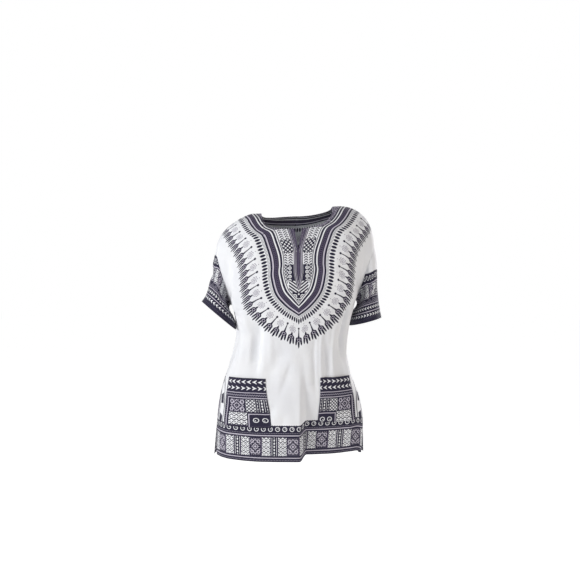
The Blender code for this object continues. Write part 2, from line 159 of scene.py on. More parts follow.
BACK_CREASES = [
    Fold(-0.90, 0.220, -0.46, 0.300, 0.009, 0.010, -0.0040),
    Fold(0.90, 0.225, 0.50, 0.290, 0.010, 0.009, -0.0040),
    Fold(-0.86, 0.170, -0.52, 0.190, 0.008, 0.008, -0.0026),
    Fold(0.84, 0.165, 0.58, 0.195, 0.007, 0.009, -0.0026),
    Fold(-0.24, 0.360, -0.16, 0.640, 0.012, 0.009, -0.0034),
    Fold(0.22, 0.330, 0.20, 0.600, 0.009, 0.012, -0.0034),
    Fold(-0.60, 0.420, -0.54, 0.690, 0.010, 0.012, 0.0036),
    Fold(0.62, 0.440, 0.58, 0.700, 0.012, 0.010, 0.0036),
    Fold(-0.30, 0.080, 0.00, 0.100, 0.010, 0.012, -0.0020),
    Fold(0.06, 0.110, 0.34, 0.090, 0.011, 0.010, -0.0018),
]
SEAM_PUCKER = 0.0007        # height of the pucker along the armhole and shoulder seams
PUCKER_PITCH = 0.014
UNEVENNESS = 0.0009         # height of the cloth's broad, low waves

CREASE_LEVEL = 0.420
CREASE_REACH = 0.075        # the solids have 0.130, and the thin cloth a sharper crease
CREASE_STEP = 0.036
CREASE_LIFT = 0.016
HEM_SIDE_LIFT = 0.008

Vent = namedtuple("Vent", "front_in front_forward back_out back_down")
VENTS = {-1: Vent(0.004, 0.014, 0.004, 0.006), 1: Vent(0.018, 0.020, 0.002, 0.003)}

Sleeve = namedtuple("Sleeve", "side centre tilt half_across half_deep spread")
SLEEVES = {
    "sleeve_right": Sleeve(-1, (-0.230, 0.004, -0.316), 40.0, 0.066, 0.082, 0.42),
    "sleeve_left": Sleeve(1, (0.212, 0.012, -0.334), 15.0, 0.049, 0.086, 0.24),
}
SLEEVE_FOLDS = {
    "sleeve_right": [
        Fold(0.92, 0.25, 1.14, 0.70, 0.018, 0.018, -0.007),
        Fold(0.30, 0.10, 0.16, 0.75, 0.022, 0.026, -0.006),
        Fold(0.60, 0.30, 0.78, 0.80, 0.020, 0.020, -0.008),
    ],
    "sleeve_left": [
        Fold(0.06, 0.56, 0.30, 0.50, 0.014, 0.012, -0.008),
        Fold(0.16, 0.16, 0.30, 0.60, 0.020, 0.024, -0.006),
        Fold(0.66, 0.30, 0.80, 0.76, 0.020, 0.020, -0.007),
    ],
}
SLEEVE_CREASES = {
    "sleeve_right": [
        Fold(0.20, 0.16, 0.10, 0.60, 0.007, 0.009, -0.0030),
        Fold(0.32, 0.30, 0.22, 0.86, 0.009, 0.007, 0.0026),
        Fold(0.02, 0.20, 0.08, 0.66, 0.008, 0.008, -0.0026),
        Fold(0.70, 0.24, 0.88, 0.60, 0.010, 0.008, -0.0030),
        Fold(0.56, 0.50, 0.66, 0.90, 0.008, 0.010, 0.0026),
    ],
    "sleeve_left": [
        Fold(0.04, 0.34, 0.24, 0.28, 0.005, 0.007, -0.0026),
        Fold(0.10, 0.44, 0.26, 0.40, 0.006, 0.005, 0.0026),
        Fold(0.30, 0.20, 0.26, 0.70, 0.008, 0.006, 0.0024),
        Fold(0.74, 0.22, 0.90, 0.58, 0.009, 0.009, -0.0030),
        Fold(0.58, 0.50, 0.64, 0.92, 0.010, 0.008, 0.0026),
    ],
}
SLEEVE_FOLD_SCALE = (0.48, 0.20)

Pocket = namedtuple("Pocket", "inner outer top bottom gape")
POCKETS = {
    "pocket_right": Pocket(-0.30, -0.76, 26, 32, 0.003),
    "pocket_left": Pocket(0.25, 0.71, 26, 32, 0.003),
}
LEAN = 0.10
LEAN_LEVELS = (0.45, 0.65)

# The neck print's border. Each row is a ray across it: inner is on the dark line round the shield,
# outer is on the tips of the buds, both as (from the centre line, down the cloth).
Ray = namedtuple("Ray", "inner_across inner_down outer_across outer_down")
FRONT_RAYS = [
    Ray(0.168, -0.045, 0.265, -0.030),
    Ray(0.150, 0.010, 0.246, 0.022),
    Ray(0.132, 0.044, 0.224, 0.068),
    Ray(0.108, 0.068, 0.204, 0.105),
    Ray(0.094, 0.105, 0.191, 0.140),
    Ray(0.084, 0.140, 0.185, 0.170),
    Ray(0.081, 0.170, 0.182, 0.200),
    Ray(0.081, 0.200, 0.177, 0.235),
    Ray(0.068, 0.250, 0.162, 0.290),
    Ray(0.036, 0.289, 0.098, 0.360),
    Ray(0.000, 0.315, 0.000, 0.410),
]
BACK_RAYS = [
    Ray(0.168, -0.045, 0.265, -0.030),
    Ray(0.152, -0.014, 0.250, 0.014),
    Ray(0.120, 0.011, 0.206, 0.062),
    Ray(0.080, 0.026, 0.146, 0.100),
    Ray(0.040, 0.033, 0.074, 0.122),
    Ray(0.000, 0.035, 0.000, 0.130),
]
RING_DEPTH = 0.095      # cloth between the two lines of the border
RING_REACH = (-0.75, 1.15)
RING_STEPS = (360, 58)
RING_SEARCH = 0.030     # cloth beyond the border that is still looked up on it
FAR = 0.200             # a Ring value for cloth that the neck print doesn't reach

# Print sizes, in millimetres
MM = 1000.0             # millimetres in a metre
BUD_PITCH = 20.0
TOOTH_PITCH = 10.0
SHIELD = 38.0           # width of the shield's lined band
HEM_BAND = 104.0
SLEEVE_BAND = 148.0
SHIELD_ROWS = (51.0, 89.0, 128.0, 166.0, 213.0, 250.0)  # edges of its rows, down the cloth
SIDE_SEAMS = (304.0, 268.0)     # the side seams' distances from the centre line: right, left
SIDE_PRINT = 82.0       # reach of the side print from its seam
SIDE_OVAL = (40.0, 60.0, 578.0)     # its oval: half width, half height, and centre down the cloth
SIDE_OVAL_SCALE = 30.0  # turns shares of the oval into distances for the ink's edge
POCKET_PRINT = 113.0    # width that the pocket's print is drawn for

# Which faces have a print's material, in metres
PRINT_MARGIN = 0.004    # cloth above a border that still has its material
SIDE_PRINT_LEVEL = 0.455    # cloth below this level has the side print's material by its seams

# Sheets
NECK_STEPS = (5, 34, 64)    # columns across the slit, from there to the neck's corner, and on
PANEL_ROWS = 180
PANEL_EASE = 1.35
SLEEVE_STEPS = (120, 84)
POCKET_STEPS = (48, 56)
POCKET_SEAM_STEPS = (40, 40)
CUT_STEPS = (161, 184)      # places across and down at which the flat cut is measured
CUT_TURN_LEVEL = 0.200      # below this level, down the cloth is the level itself
NORMAL_STEP = 0.003         # across and down, between the places that a normal is worked out from

# Topstitching
STITCH_SIDES = (6, 4)       # segments and rings of one stitch
HEM_STITCHES_TO = 0.985     # across, where the hem's line stops
SLEEVE_RUN = 0.21           # cloth down a sleeve, from which the cuff's line is placed, in metres
SLIT_STAND = 0.012          # across, from the slit to its lines
NECK_STOPS = (0.02, 0.01)   # across, where the neck's lines stop short of its corners
NECK_FALL = 0.002           # metres that the neck's lines fall for each unit across
POCKET_LINES = (1, -2, 4)   # sewn lines of a pocket's grid: by its edges, and below its mouth

CAMERA_TURN = -4.0
CAMERA_DISTANCE = 3.2
CAMERA_HEIGHT = -0.24
PHOTO_SIZE = 580
FOCAL_PIXELS = 1066
ORIGIN_PIXEL = 295.5    # where the shirt's centre stands across the photo
FLOOR_RADIUS = 40.0
LIGHTS_AIM = (0, 0, -0.35)


def smooth(value):
    """0 below 0, 1 above 1, and an S between them."""
    t = np.clip(value, 0.0, 1.0)
    return t * t * (3.0 - 2.0 * t)


def unit(vectors):
    return vectors / np.maximum(np.linalg.norm(vectors, axis=-1, keepdims=True), 1e-12)


def running_length(points, axis):
    """Length from the grid's start to each of its places, along one axis of the grid."""
    steps = np.linalg.norm(np.diff(points, axis=axis), axis=-1)
    margins = [(0, 0)] * steps.ndim
    margins[axis] = (1, 0)
    return np.pad(steps.cumsum(axis=axis), margins)


def curve_through(knots, values, at):
    """A smooth curve through (knots, values), read at some places."""
    slopes = np.gradient(values, knots)
    at = np.clip(at, knots[0], knots[-1])
    i = np.clip(np.searchsorted(knots, at, side="right") - 1, 0, len(knots) - 2)
    gap = knots[i + 1] - knots[i]
    t = (at - knots[i]) / gap
    return (
        values[i] * (1 + 2 * t) * (1 - t) ** 2
        + slopes[i] * gap * t * (1 - t) ** 2
        + values[i + 1] * t * t * (3 - 2 * t)
        + slopes[i + 1] * gap * t * t * (t - 1)
    )


def along_table(level, column):
    knots = np.array([row.level for row in SECTIONS])
    return curve_through(knots, np.array([getattr(row, column) for row in SECTIONS]), level)


def row_level(row):
    return LENGTH * (np.asarray(row, dtype=float) / ROWS) ** ROW_EASE


ARMHOLE_LEVEL = float(row_level(ARMHOLE_ROW))
VENT_LEVEL = float(row_level(VENT_ROW))


def by_side(across, left, right):
    return np.where(across < 0, left, right)


def shoulder_drop(across):
    """How far the shoulder line has dropped below the origin."""
    drops = []
    for side in (-1, 1):
        s = SHOULDERS[side]
        out = np.clip((np.abs(across) - SHOULDER_FROM) / (1 - SHOULDER_FROM), 0, None)
        tilt = s.neck_drop * smooth(np.abs(across) / SHOULDER_FROM)
        drops.append(tilt + s.drop * out**s.power)
    return by_side(across, *drops)


def fold_depth(across, level, folds, scale):
    """The sum of the folds at a place on a panel, in metres along the normal."""
    total = np.zeros_like(across)
    for f in folds:
        du, dv = (f.across_to - f.across_from) * scale[0], (f.level_to - f.level_from) * scale[1]
        length = math.hypot(du, dv)
        x, y = (across - f.across_from) * scale[0], (level - f.level_from) * scale[1]
        along = (x * du + y * dv) / length
        beside = (x * dv - y * du) / length
        width = np.where(beside < 0, f.left_width, f.right_width)
        fade = smooth(along / (0.35 * length)) * smooth((length - along) / (0.35 * length))
        total += f.depth * np.exp(-((beside / width) ** 2)) * fade
    return total


def side_edge(across, level, face):
    """The place of a panel's side edge: the armhole, then the side seam, then the vent."""
    width = by_side(across, along_table(level, "left"), along_table(level, "right"))
    x = width - along_table(level, "tuck")
    down = np.clip(level / ARMHOLE_LEVEL, 0, 1)
    bow = ARMHOLE_FRONT if face < 0 else ARMHOLE_BACK
    y = face * bow * ARMHOLE_BOW * np.sqrt(down) * (1 - down)
    opened = np.clip((level - VENT_LEVEL) / (LENGTH - VENT_LEVEL), 0, 1) ** VENT_EASE
    for side in (-1, 1):
        v = VENTS[side]
        here = (across < 0) == (side < 0)
        if face < 0:
            inward, forward = v.front_in, v.front_forward
        else:
            inward, forward = -v.back_out, v.front_forward / 2
        x = np.where(here, x - inward * opened, x)
        y = np.where(here, y + face * forward * opened, y)
    return x, y


def form(across, level, face):
    """The worn surface without its folds. face is -1 in front and 1 behind."""
    u = np.abs(across)
    width = by_side(across, along_table(level, "left"), along_table(level, "right"))
    depth = along_table(level, "front" if face < 0 else "back")
    fold_y = along_table(level, "fold_y") * (1.0 if face < 0 else BACK_FOLD_SHARE)
    edge_turn = (np.pi / 2) * (1 + FRONT_WRAP * along_table(level, "tuck") / FULL_WRAP_TUCK)
    edge_x, edge_y = side_edge(across, level, face)
    pull = np.clip((u - PULL_FROM) / (1 - PULL_FROM), 0, None) ** 2

    def arc(turn):
        cosine = np.cos(turn)
        bulge = np.sign(cosine) * np.abs(cosine) ** FRONT_FLATNESS
        return width * np.sin(turn), fold_y + (depth - fold_y) * bulge

    (x, y), (end_x, end_y) = arc(u * edge_turn), arc(edge_turn)
    x = x + (edge_x - end_x) * pull
    y = face * y + (edge_y - face * end_y) * pull
    z = -level - shoulder_drop(across) * (1 - smooth(level / SHOULDER_FADE_LEVEL))
    z = z + HEM_SIDE_LIFT * smooth((u - 0.3) / 0.7) * smooth(level / LENGTH)
    opened = np.clip((level - VENT_LEVEL) / (LENGTH - VENT_LEVEL), 0, 1) * smooth((u - 0.7) / 0.3)
    if face > 0:
        z = z - opened * by_side(across, VENTS[-1].back_down, VENTS[1].back_down)
    else:
        crease = smooth((level - CREASE_LEVEL) / (LENGTH - CREASE_LEVEL))
        begun = smooth(across / CREASE_REACH)
        y = y + CREASE_STEP * begun * (1 - smooth((across - 0.45) / 0.45)) * crease
        z = z + CREASE_LIFT * begun * (1 - smooth((across - 0.6) / 0.4)) * crease
    return np.stack([np.sign(across) * x + along_table(level, "shift"), y, z], axis=-1)


def outward(surface, a, b, turned):
    """Unit normals of surface(a, b) by central differences. turned, 1 or -1, points them out."""
    da = surface(a + NORMAL_STEP, b) - surface(a - NORMAL_STEP, b)
    db = surface(a, b + NORMAL_STEP) - surface(a, b - NORMAL_STEP)
    return unit(np.cross(da, db) * turned)


def body(across, level, face):
    """The worn surface with its folds and creases, all of which die out at the side edges."""
    big, small = (FRONT_FOLDS, FRONT_CREASES) if face < 0 else (BACK_FOLDS, BACK_CREASES)
    bare = lambda a, b: form(a, b, face)
    height = fold_depth(across, level, big + small, (FOLD_SCALE, 1.0))
    wave = np.sin(31 * across + 17 * level + face) * np.sin(43 * level - 11 * across + 2 * face)
    height = height + UNEVENNESS * wave
    inside = smooth((1 - np.abs(across)) / 0.10) * smooth(level / 0.10)
    seam = np.exp(-(1 - np.abs(across)) / 0.03) * smooth((1 - np.abs(across)) / 0.012)
    pucker = SEAM_PUCKER * np.sin(2 * np.pi * level / PUCKER_PITCH) * seam
    height = height * inside + pucker
    return bare(across, level) + outward(bare, across, level, face) * height[..., None]


def body_normal(across, level, face):
    return outward(lambda a, b: body(a, b, face), across, level, face)


def armhole(side, turn):
    """A point on the armhole. turn is 0 on the shoulder, 0.25 in front, 0.5 under the arm."""
    forward = turn <= 0.5
    level = ARMHOLE_LEVEL * np.where(forward, 2 * turn, 2 - 2 * turn)
    across = np.full_like(turn, float(side))
    return np.where(forward[..., None], body(across, level, -1), body(across, level, 1))


def sleeve(name, turn, along):
    """A point on a sleeve. turn runs round it, and along goes from the armhole, 0, to the cuff, 1.

    Each run is a cubic curve. It leaves the armhole mostly sideways under the arm and mostly
    downwards elsewhere, and it meets the cuff square.
    """
    s = SLEEVES[name]
    turn, along = np.mod(turn, 1.0), along[..., None]
    start = armhole(s.side, turn)
    cosine, sine = np.cos(2 * np.pi * turn)[..., None], np.sin(2 * np.pi * turn)[..., None]
    tilt = math.radians(s.tilt)
    out = np.array([s.side * math.cos(tilt), 0.0, math.sin(tilt)])
    down = np.array([s.side * math.sin(tilt), 0.0, -math.cos(tilt)])
    front = np.array([0.0, -1.0, 0.0])
    end = np.array(s.centre) + s.half_across * cosine * out + s.half_deep * sine * front
    over, under, beside = np.clip(cosine, 0, 1) ** 2, np.clip(-cosine, 0, 1) ** 2, sine**2
    sideways = s.spread * over + 0.90 * under + 0.38 * beside
    downward = 0.95 * over + 0.50 * under + 0.80 * beside
    leave = sideways * np.array([s.side, 0, 0]) - downward * np.array([0, 0, 1.0])
    leave = unit(leave + 0.25 * sine * front)
    reach = np.linalg.norm(end - start, axis=-1, keepdims=True) / 3
    rest = 1 - along
    return (
        rest**3 * start
        + 3 * rest**2 * along * (start + reach * leave)
        + 3 * rest * along**2 * (end - reach * down)
        + along**3 * end
    )


def folded_sleeve(name, turn, along):
    """The sleeve with its folds and creases, which die out at the armhole seam."""
    side = SLEEVES[name].side
    bare = lambda a, b: sleeve(name, a, b)
    folds = SLEEVE_FOLDS[name] + SLEEVE_CREASES[name]
    height = fold_depth(turn, along, folds, SLEEVE_FOLD_SCALE)
    height = height + fold_depth(turn + 1, along, folds, SLEEVE_FOLD_SCALE)
    height = height + UNEVENNESS * np.sin(4 * np.pi * turn + side) * np.sin(9 * along)
    seam = np.exp(-along / 0.05) * smooth(along / 0.02)
    height = height * smooth(along / 0.15) + SEAM_PUCKER * np.sin(2 * np.pi * turn * 40) * seam
    return bare(turn, along) + outward(bare, turn, along, side) * height[..., None]


def top_level(across, face):
    """The level of a panel's upper edge: the shoulder seam, or the neckline with its slit."""
    u = np.abs(across)
    depth = NECK_FRONT_LEVEL if face < 0 else NECK_BACK_LEVEL
    scoop = np.clip(1 - np.clip(u / NECK_HALF_WIDTH, 0, 1) ** SCOOP_SQUARENESS, 0, 1)
    level = depth * scoop ** (1 / SCOOP_SQUARENESS)
    if face < 0:
        level = level + SLIT_LENGTH * np.clip(1 - u / SLIT_HALF_WIDTH, 0, 1)
    return level


def panel_places(face):
    """(across, level) of a body panel's grid, row by row from the upper edge to the hem."""
    slit = np.linspace(0, SLIT_HALF_WIDTH, NECK_STEPS[0] + 1)
    neck = np.linspace(SLIT_HALF_WIDTH, NECK_HALF_WIDTH, NECK_STEPS[1] + 1)[1:]
    rest = np.linspace(NECK_HALF_WIDTH, 1, NECK_STEPS[2] + 1)[1:]
    half = np.concatenate([slit, neck, rest])
    across = np.concatenate([-half[:0:-1], half])
    upper = top_level(across, face)
    straight = LENGTH * (np.linspace(0, 1, PANEL_ROWS + 1) ** PANEL_EASE)[:, None]
    squeezed = upper + straight * (NECK_EASE_LEVEL - upper) / NECK_EASE_LEVEL
    level = np.where(straight < NECK_EASE_LEVEL, squeezed, straight)
    return np.broadcast_to(across, level.shape).copy(), level


def cut_places(across, level, face):
    """Where worn places lie on the flat cut: metres from the centre line, and down the cloth.

    Low down, the second is the level itself. Above CUT_TURN_LEVEL it is measured along the
    cloth, so that the print isn't stretched over the shoulders.
    """
    a, b = np.linspace(-1, 1, CUT_STEPS[0]), np.linspace(0, LENGTH, CUT_STEPS[1])
    grid_a, grid_b = np.meshgrid(a, b)
    points = form(grid_a, grid_b, face)
    sideways = running_length(points, 1)
    sideways = sideways - sideways[:, len(a) // 2, None]
    down = running_length(points, 0)
    turn_row = int(round(CUT_TURN_LEVEL / b[1]))
    down = np.where(grid_b >= b[turn_row], grid_b, b[turn_row] - (down[turn_row] - down))
    i = (across + 1) / (a[1] - a[0])
    j = level / (b[1] - b[0])
    i0 = np.clip(i.astype(int), 0, len(a) - 2)
    j0 = np.clip(j.astype(int), 0, len(b) - 2)
    fi, fj = i - i0, j - j0

    def read(values):
        upper = values[j0, i0] * (1 - fi) + values[j0, i0 + 1] * fi
        lower = values[j0 + 1, i0] * (1 - fi) + values[j0 + 1, i0 + 1] * fi
        return upper * (1 - fj) + lower * fj

    return read(sideways), read(down)


def ring_places(across, down, rays):
    """Places on the neck print's border: metres along it from its tip, and out from the shield."""
    knots = np.arange(len(rays), dtype=float)
    table = np.array(rays)

    def lines(at):
        four = [curve_through(knots, table[:, k], at) for k in range(4)]
        return np.stack(four[:2], axis=-1), np.stack(four[2:], axis=-1)

    at = np.linspace(knots[-1], 0, RING_STEPS[0])
    share = np.linspace(*RING_REACH, RING_STEPS[1])
    inner, outer = lines(at)
    run = running_length((inner + outer) / 2, 0)
    spots = inner[:, None] + share[None, :, None] * (outer - inner)[:, None]
    tree = KDTree(spots.shape[0] * spots.shape[1])
    for k, (x, y) in enumerate(spots.reshape(-1, 2)):
        tree.insert((x, y, 0), k)
    tree.balance()
    wanted = np.stack([np.abs(across).ravel(), down.ravel()], axis=-1)
    along, out = np.full(len(wanted), FAR), np.full(len(wanted), FAR)
    limit = np.array([table[:, 2].max(), table[-1, 3]]) + RING_SEARCH
    close = (wanted < limit).all(axis=1)
    found = [tree.find((x, y, 0))[1] for x, y in wanted[close]]
    place, width = np.unravel_index(found, spots.shape[:2])
    t, w = at[place], share[width]
    nudge, tiny = 1e-3, 1e-7
    for _ in range(3):
        (i0, o0), (i1, o1) = lines(t), lines(t + nudge)
        here = i0 + w[:, None] * (o0 - i0)
        by_t = (i1 + w[:, None] * (o1 - i1) - here) / nudge
        by_w = o0 - i0
        miss = wanted[close] - here
        size = by_t[:, 0] * by_w[:, 1] - by_t[:, 1] * by_w[:, 0]
        size = np.where(np.abs(size) < tiny, tiny, size)
        dt = (miss[:, 0] * by_w[:, 1] - miss[:, 1] * by_w[:, 0]) / size
        dw = (by_t[:, 0] * miss[:, 1] - by_t[:, 1] * miss[:, 0]) / size
        t = np.clip(t + np.clip(dt, -0.05, 0.05), 0, knots[-1])
        w = np.clip(w + np.clip(dw, -0.03, 0.03), *RING_REACH)
    along[close] = np.interp(-t, -at, run)
    out[close] = w * RING_DEPTH
    return along.reshape(across.shape), out.reshape(across.shape)


def as_piece(name, bm, materials):
    """Puts a finished mesh with its materials into the scene."""
    mesh = bpy.data.meshes.new(name)
    bm.to_mesh(mesh)
    bm.free()
    for material in materials:
        mesh.materials.append(material)
    piece = bpy.data.objects.new(name, mesh)
    bpy.context.scene.collection.objects.link(piece)
    return piece


def cloth_sheet(name, points, maps, materials, zone, turned, closed=False):
    """A sheet of cloth: a flat grid whose corners are moved to their places.

    maps gives each UV map's values at the corners. zone gives the number of each corner's
    material, and a face has the highest of its corners'.
    """
    rows, columns = points.shape[:2]
    bm = bmesh.new()
    bmesh.ops.create_grid(bm, x_segments=columns - 1, y_segments=rows - 1, size=1)
    bm.verts.ensure_lookup_table()
    bm.verts.index_update()
    for vertex, place in zip(bm.verts, points.reshape(-1, 3)):
        vertex.co = place
    layers = [(bm.loops.layers.uv.new(key), values.reshape(-1, 2)) for key, values in maps.items()]
    picked = zone.reshape(-1)
    for face in bm.faces:
        corners = [v.index for v in face.verts]
        face.material_index = int(max(picked[i] for i in corners))
        face.smooth = True
        for loop in face.loops:
            for layer, values in layers:
                loop[layer].uv = values[loop.vert.index]
    if turned:
        bmesh.ops.reverse_faces(bm, faces=bm.faces)
    if closed:
        bmesh.ops.remove_doubles(bm, verts=bm.verts, dist=1e-5)
    return as_piece(name, bm, materials)


def thicken(sheet, thickness):
    """Gives a sheet its cloth's thickness, half on either side."""
    solid = sheet.modifiers.new("Thickness", "SOLIDIFY")
    solid.thickness = thickness
    solid.offset = 0.0
    solid.use_even_offset = False
    solid.use_rim = True


def stitch_rows(name, lines, sizes, material):
    """Stitches along several lines, as one mesh. A line is (points, outward normals)."""
    segments, rings = STITCH_SIDES
    half = (sizes.length / 2, sizes.thread / 2, sizes.thread / 2, 1)
    bm = bmesh.new()
    for points, normals in lines:
        run = running_length(points, 0)
        for at in np.arange(sizes.pitch / 2, run[-1], sizes.pitch):
            ends = [at - sizes.length / 2, at + sizes.length / 2]
            a, b = (np.array([np.interp(e, run, points[:, k]) for k in range(3)]) for e in ends)
            up = np.array([np.interp(at, run, normals[:, k]) for k in range(3)])
            x_axis = Vector(b - a).normalized()
            z_axis = Vector(up).normalized()
            y_axis = z_axis.cross(x_axis).normalized()
            z_axis = x_axis.cross(y_axis)
            turn = Matrix((x_axis, y_axis, z_axis)).transposed().to_4x4()
            middle = Vector((a + b) / 2) + z_axis * sizes.lift
            place = Matrix.Translation(middle) @ turn @ Matrix.Diagonal(half)
            bmesh.ops.create_uvsphere(
                bm, u_segments=segments, v_segments=rings, radius=1, matrix=place
            )
    for face in bm.faces:
        face.smooth = True
    return as_piece(name, bm, [material])


def feed(tree, socket, value):
    """Links a socket to another one, or sets it to a plain value."""
    if isinstance(value, bpy.types.NodeSocket):
        tree.links.new(value, socket)
    else:
        socket.default_value = value


class Amount:
    """A number that a material works out at each point of the cloth."""

    def __init__(self, tree, socket):
        self.tree, self.socket = tree, socket

    def run(self, operation, *others, clamp=False):
        node = self.tree.nodes.new("ShaderNodeMath")
        node.operation = operation
        node.use_clamp = clamp
        for socket, value in zip(node.inputs, (self, *others)):
            feed(self.tree, socket, value.socket if isinstance(value, Amount) else value)
        return Amount(self.tree, node.outputs[0])

    def __add__(self, other):
        return self.run("ADD", other)

    def __sub__(self, other):
        return self.run("SUBTRACT", other)

    def __mul__(self, other):
        return self.run("MULTIPLY", other)

    def __truediv__(self, other):
        return self.run("DIVIDE", other)

    def __abs__(self):
        return self.run("ABSOLUTE")

    def over(self, other):
        return self.run("MAXIMUM", other)

    def under(self, other):
        return self.run("MINIMUM", other)

    def wrapped(self, pitch):
        """The distance from the nearest multiple of pitch, signed."""
        return self.run("WRAP", pitch / 2, -pitch / 2)

    def power(self, exponent):
        return self.run("POWER", exponent)


# Shapes: each is a signed distance in millimetres, negative inside


def both(*shapes):
    return reduce(Amount.over, shapes)


def either(*shapes):
    return reduce(Amount.under, shapes)


def outside(shape):
    return shape * -1.0


def band(value, low, high):
    return abs(value - (low + high) / 2) - (high - low) / 2


def length_of(x, y):
    return (x * x + y * y).run("SQRT")


def disc(x, y, radius):
    return length_of(x, y) - radius


def ring(x, y, radius, half):
    return abs(disc(x, y, radius)) - half


def oval(x, y, half_x, half_y):
    return (length_of(x / half_x, y / half_y) - 1.0) * min(half_x, half_y)


def diamond(x, y, half):
    return abs(x) + abs(y) - half


def lattice(x, y, pitch, half):
    """Small diamonds in staggered rows."""
    one = diamond(x.wrapped(pitch), y.wrapped(pitch), half)
    other = diamond((x + pitch / 2).wrapped(pitch), (y + pitch / 2).wrapped(pitch), half)
    return one.under(other)


def arrowheads(x, y, pitch, half, point):
    """A row of barbed arrowheads along x, 2 * half high. point is 1 or -1."""
    at = x.wrapped(pitch) * (point / (0.8 * pitch))
    outline = both(abs(y) + at * half - 0.5 * half, (outside(at) - 0.5) * half)
    notch = abs(y) + at * (2.2 * half) + 0.42 * half
    return both(outline, outside(notch))


def coin_row(x, y, pitch, radius):
    """A row of rings with a dot in each."""
    at = x.wrapped(pitch)
    return either(ring(at, y, radius, 0.95), disc(at - 1.6, y - 1.4, 1.5))


def zigzag(x, y, pitch, half):
    """A zigzag line along x, a half pitch high."""
    return abs(y - (abs(x.wrapped(pitch)) - pitch / 4)) * 0.7 - half


def leafy_net(x, y):
    """Rows of chevrons with small diamonds between them."""
    rows = abs((y + abs(x.wrapped(12.0)) * 0.9).wrapped(6.4)) - 1.5
    return either(rows, lattice(x, y, 12.0, 3.0))


def bead_strings(beads, rails, y, half_x, half_y, rail, tick):
    """Oval beads one over another between ticked rails. rail and tick are the ticks' half sizes."""
    ticks = both(rails - rail, abs(y.wrapped(4.5)) - tick)
    return either(oval(beads, y.wrapped(9.0), half_x, half_y), ticks)


def filigree(x, y, inner, outer, corner):
    """Two nested diamonds with dots all over and a ring in each corner: (x, y, radius)."""
    ring_x, ring_y, radius = corner
    return either(
        abs(diamond(x, y, inner)) - 1.2,
        abs(diamond(x, y, outer)) - 1.2,
        ring(abs(x) - ring_x, abs(y) - ring_y, radius, 1.0),
        disc(x.wrapped(5.6), y.wrapped(5.6), 1.0),
    )


Inks = namedtuple("Inks", "white navy violet pale grey")


# Sockets of the Mix node that carry a colour mix: its share and two colours, and the result
MIX_INPUTS, MIX_OUTPUT = (0, 6, 7), 2


def mixed(tree, share, below, above, blend="MIX"):
    """The socket of two colours mixed. Each input is a value or another node's socket."""
    node = tree.nodes.new("ShaderNodeMix")
    node.data_type = "RGBA"
    node.blend_type = blend
    for place, value in zip(MIX_INPUTS, (share, below, above)):
        feed(tree, node.inputs[place], value)
    return node.outputs[MIX_OUTPUT]


def paint(tree, ground, layers, softness):
    """Prints (colour, shape) layers one over another and returns what then shows."""
    shown = ground
    for colour, shape in layers:
        covered = (shape / -softness + 0.5).run("ADD", 0.0, clamp=True)
        shown = mixed(tree, covered.socket, shown, colour)
    return shown


def read_map(tree, name, scale):
    """A UV map's two values, times scale."""
    node = tree.nodes.new("ShaderNodeUVMap")
    node.uv_map = name
    parts = tree.nodes.new("ShaderNodeSeparateXYZ")
    tree.links.new(node.outputs["UV"], parts.inputs[0])
    return tuple(Amount(tree, parts.outputs[k]) * scale for k in range(2))


def noise(tree, scale, detail):
    """Blender's noise on the piece's own place, about 0 to 1."""
    coordinates = tree.nodes.new("ShaderNodeTexCoord")
    node = tree.nodes.new("ShaderNodeTexNoise")
    node.inputs["Scale"].default_value = scale
    node.inputs["Detail"].default_value = detail
    tree.links.new(coordinates.outputs["Object"], node.inputs["Vector"])
    return Amount(tree, node.outputs["Fac"])


